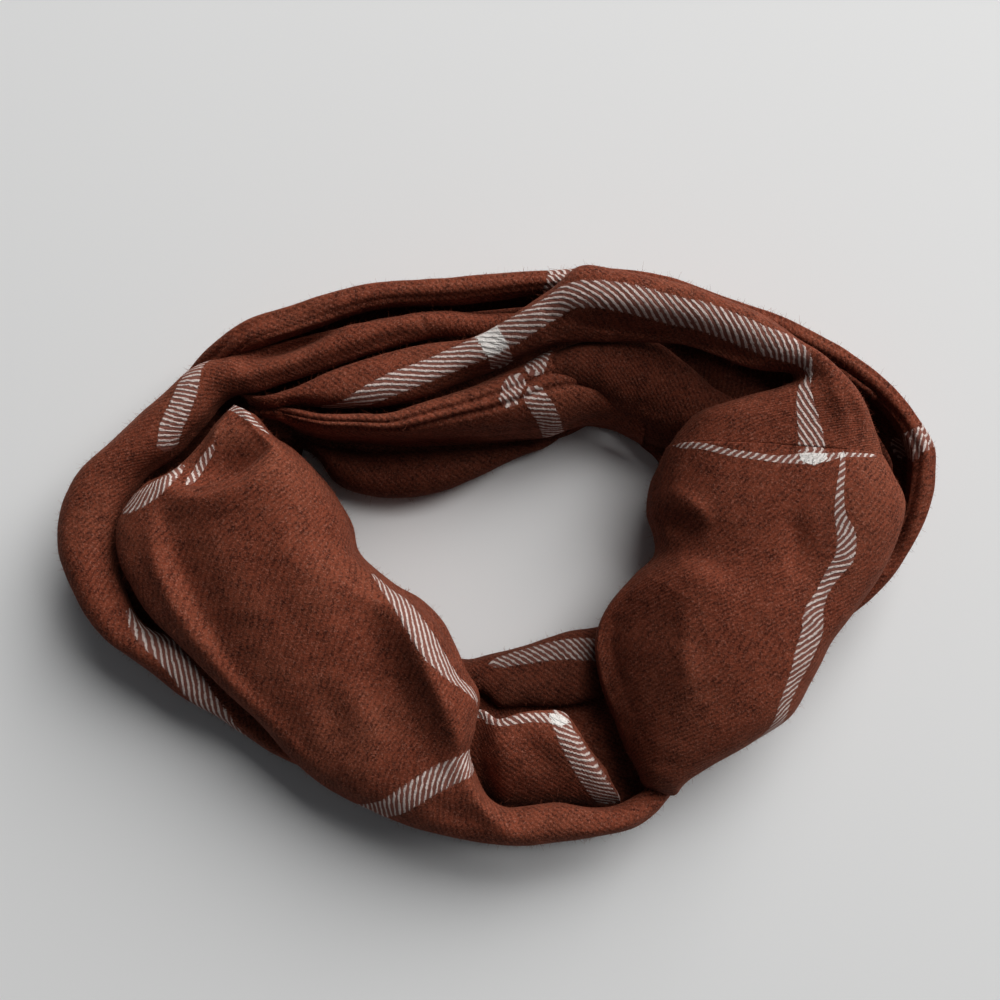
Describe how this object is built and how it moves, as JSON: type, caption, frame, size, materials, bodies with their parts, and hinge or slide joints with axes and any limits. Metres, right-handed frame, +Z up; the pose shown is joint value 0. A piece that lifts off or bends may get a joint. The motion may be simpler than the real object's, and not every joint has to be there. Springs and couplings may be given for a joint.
{
  "type": "infinity scarf",
  "caption": "Woven loop scarf with a pale windowpane check on brown, laid in two turns as an oval ring with an open centre.",
  "frame": {"origin": "centre of the scarf's outline, on the surface it lies on", "axes": "+X along the oval's length, to the lobe with the panel seam; +Y towards the standing outer hem; +Z up"},
  "size_m": [0.3923, 0.2586, 0.0749],
  "materials": {
    "check_flannel": "brushed twill, matt",
    "shaded_flannel": "brushed twill, matt"
  },
  "bodies": {
    "root": {"outer_hem": "check_flannel", "left_roll": "check_flannel", "stripe_band": "check_flannel", "right_lobe": "check_flannel", "left_lobe": "check_flannel", "inner_hem_band": "check_flannel", "twist_flap": "check_flannel", "inner_back_layer": "check_flannel", "bottom_tuck": "check_flannel", "inner_front_strip": "check_flannel", "hidden_layers": "shaded_flannel"}
  },
  "joints": []
}
